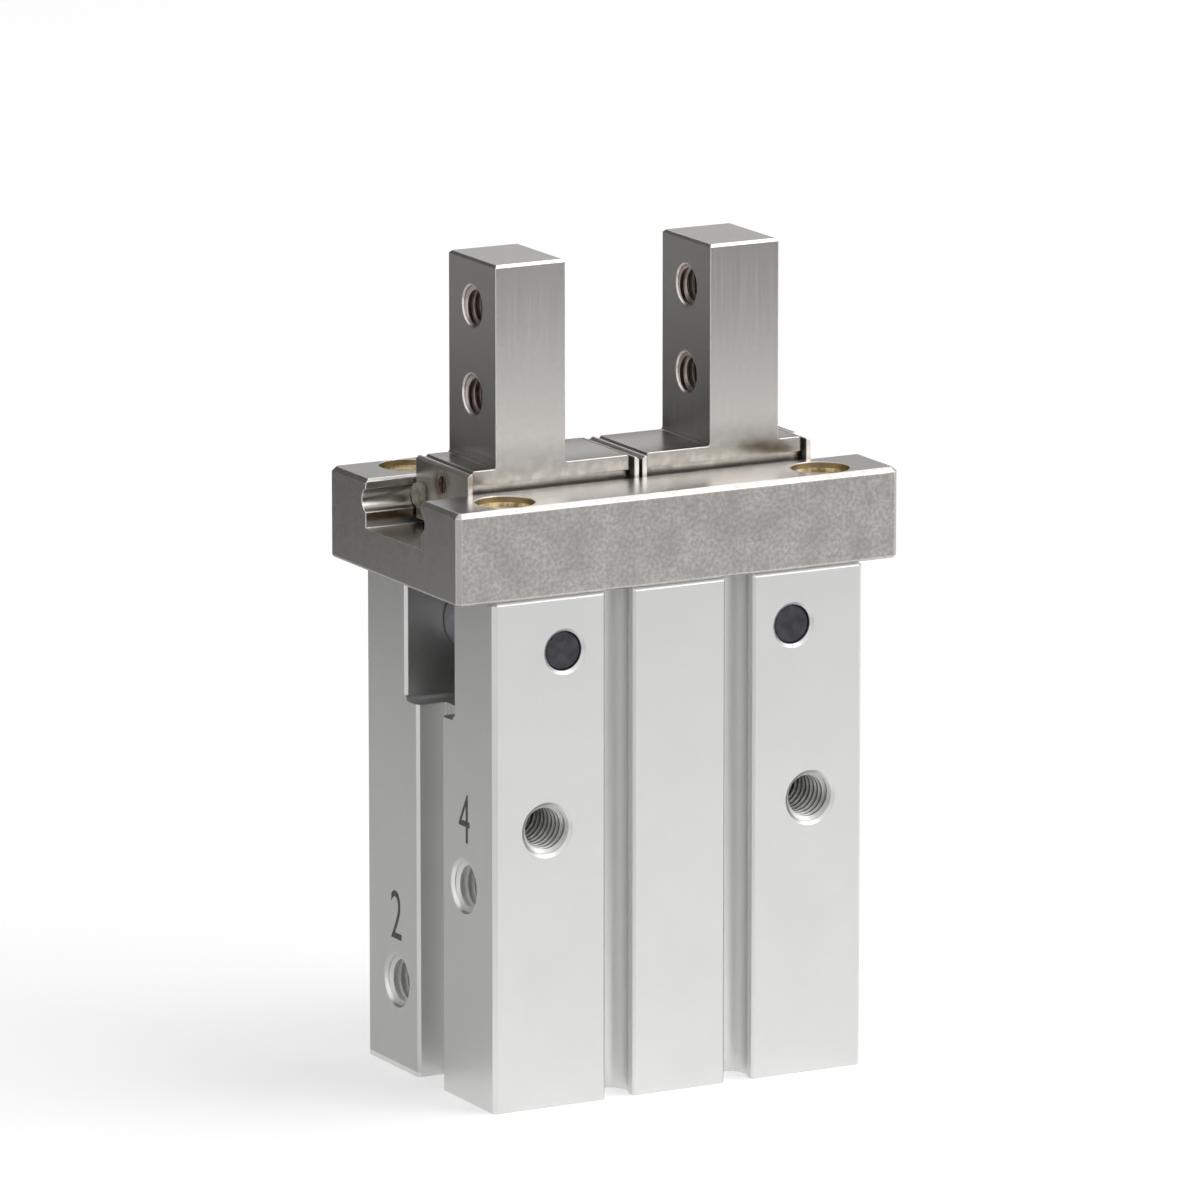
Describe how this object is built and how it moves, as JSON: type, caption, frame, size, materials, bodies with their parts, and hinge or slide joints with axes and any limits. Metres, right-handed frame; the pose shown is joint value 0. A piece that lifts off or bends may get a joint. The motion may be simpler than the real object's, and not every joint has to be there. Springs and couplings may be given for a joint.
{
  "type": "pneumatic parallel gripper",
  "caption": "Compact air-driven parallel gripper: square aluminium cylinder body, steel guide block on top and opposed sliding fingers driven by a piston through bell-crank levers.",
  "frame": {"origin": "centre of the body's bottom face, which is the mounting face", "axes": "+Z towards the fingers, X along the finger travel, -Y towards the front face; both air ports are on the -X side"},
  "size_m": [0.05, 0.0278, 0.0842],
  "materials": {
    "body_aluminium": "clear anodised, satin",
    "guide_steel": "hardened and ground",
    "finger_steel": "stainless, brushed along its length",
    "plate_steel": "stainless sheet, rolled",
    "screw_steel": "bare alloy steel with a trace of oil",
    "shaft_steel": "hardened, dark",
    "lever_steel": "hardened, greased",
    "roller_steel": "ground bearing steel",
    "ball_steel": "polished bearing steel",
    "spring_steel": "phosphated spring steel",
    "rod_steel": "hard chromed and ground",
    "piston_aluminium": "turned, chromated",
    "cap_aluminium": "turned, clear anodised",
    "bronze": "oil-filled sintered bronze",
    "magnet": "sintered ring magnet, dull",
    "rubber": "moulded nitrile",
    "urethane": "moulded polyurethane"
  },
  "bodies": {
    "housing": {"body": "body_aluminium", "guide": "guide_steel", "guide_screws": "screw_steel", "guide_dowels": "roller_steel", "end_cap": "cap_aluminium", "cap_gasket": "rubber", "retaining_ring": "spring_steel", "lower_bumper": "urethane", "upper_bumper": "urethane", "seal_holder": "cap_aluminium", "rod_seal": "rubber", "rod_bush": "bronze", "lever_shaft_left": "shaft_steel", "lever_shaft_right": "shaft_steel"},
    "drive": {"piston": "piston_aluminium", "piston_seal": "rubber", "magnet_ring": "magnet", "magnet_washer": "piston_aluminium", "piston_nut": "screw_steel", "piston_rod": "rod_steel", "rod_head": "lever_steel", "rod_head_pin": "roller_steel"},
    "lever_arm_left": {"lever_left": "lever_steel", "roller_pin_left": "roller_steel"},
    "roller_left": {"lever_roller_left": "roller_steel"},
    "jaw_left": {"finger_left": "finger_steel", "inner_stopper_left": "plate_steel", "outer_stopper_left": "plate_steel", "stopper_screws_left": "screw_steel"},
    "balls_left": {"bearing_balls_left": "ball_steel"},
    "lever_arm_right": {"lever_right": "lever_steel", "roller_pin_right": "roller_steel"},
    "roller_right": {"lever_roller_right": "roller_steel"},
    "jaw_right": {"finger_right": "finger_steel", "inner_stopper_right": "plate_steel", "outer_stopper_right": "plate_steel", "stopper_screws_right": "screw_steel"},
    "balls_right": {"bearing_balls_right": "ball_steel"}
  },
  "joints": [
    {"name": "piston_slide", "type": "slide", "parent": "housing", "child": "drive", "axis": [0, 0, 1], "range_m": [0, 0.0036]},
    {"name": "lever_left_turn", "type": "hinge", "parent": "housing", "child": "lever_arm_left", "pos_m": [-0.013, 0, 0.0465], "axis": [0, 1, 0], "range_deg": [-23.07, 0]},
    {"name": "roller_left_spin", "type": "hinge", "parent": "lever_arm_left", "child": "roller_left", "pos_m": [-0.0105, 0, 0.05875], "axis": [0, 1, 0], "continuous": true},
    {"name": "finger_left_slide", "type": "slide", "parent": "housing", "child": "jaw_left", "axis": [-1, 0, 0], "range_m": [0, 0.005]},
    {"name": "balls_left_slide", "type": "slide", "parent": "housing", "child": "balls_left", "axis": [-1, 0, 0], "range_m": [0, 0.0025]},
    {"name": "lever_right_turn", "type": "hinge", "parent": "housing", "child": "lever_arm_right", "pos_m": [0.013, 0, 0.0465], "axis": [0, 1, 0], "range_deg": [0, 23.07]},
    {"name": "roller_right_spin", "type": "hinge", "parent": "lever_arm_right", "child": "roller_right", "pos_m": [0.0105, 0, 0.05875], "axis": [0, 1, 0], "continuous": true},
    {"name": "finger_right_slide", "type": "slide", "parent": "housing", "child": "jaw_right", "axis": [1, 0, 0], "range_m": [0, 0.005]},
    {"name": "balls_right_slide", "type": "slide", "parent": "housing", "child": "balls_right", "axis": [1, 0, 0], "range_m": [0, 0.0025]}
  ],
  "couplings": [
    {"joint": "lever_left_turn", "follows": "piston_slide", "rad_per_m": -111.86},
    {"joint": "finger_left_slide", "follows": "piston_slide", "ratio": 1.3892},
    {"joint": "balls_left_slide", "follows": "piston_slide", "ratio": 0.69458},
    {"joint": "lever_right_turn", "follows": "piston_slide", "rad_per_m": 111.86},
    {"joint": "finger_right_slide", "follows": "piston_slide", "ratio": 1.3892},
    {"joint": "balls_right_slide", "follows": "piston_slide", "ratio": 0.69458}
  ]
}
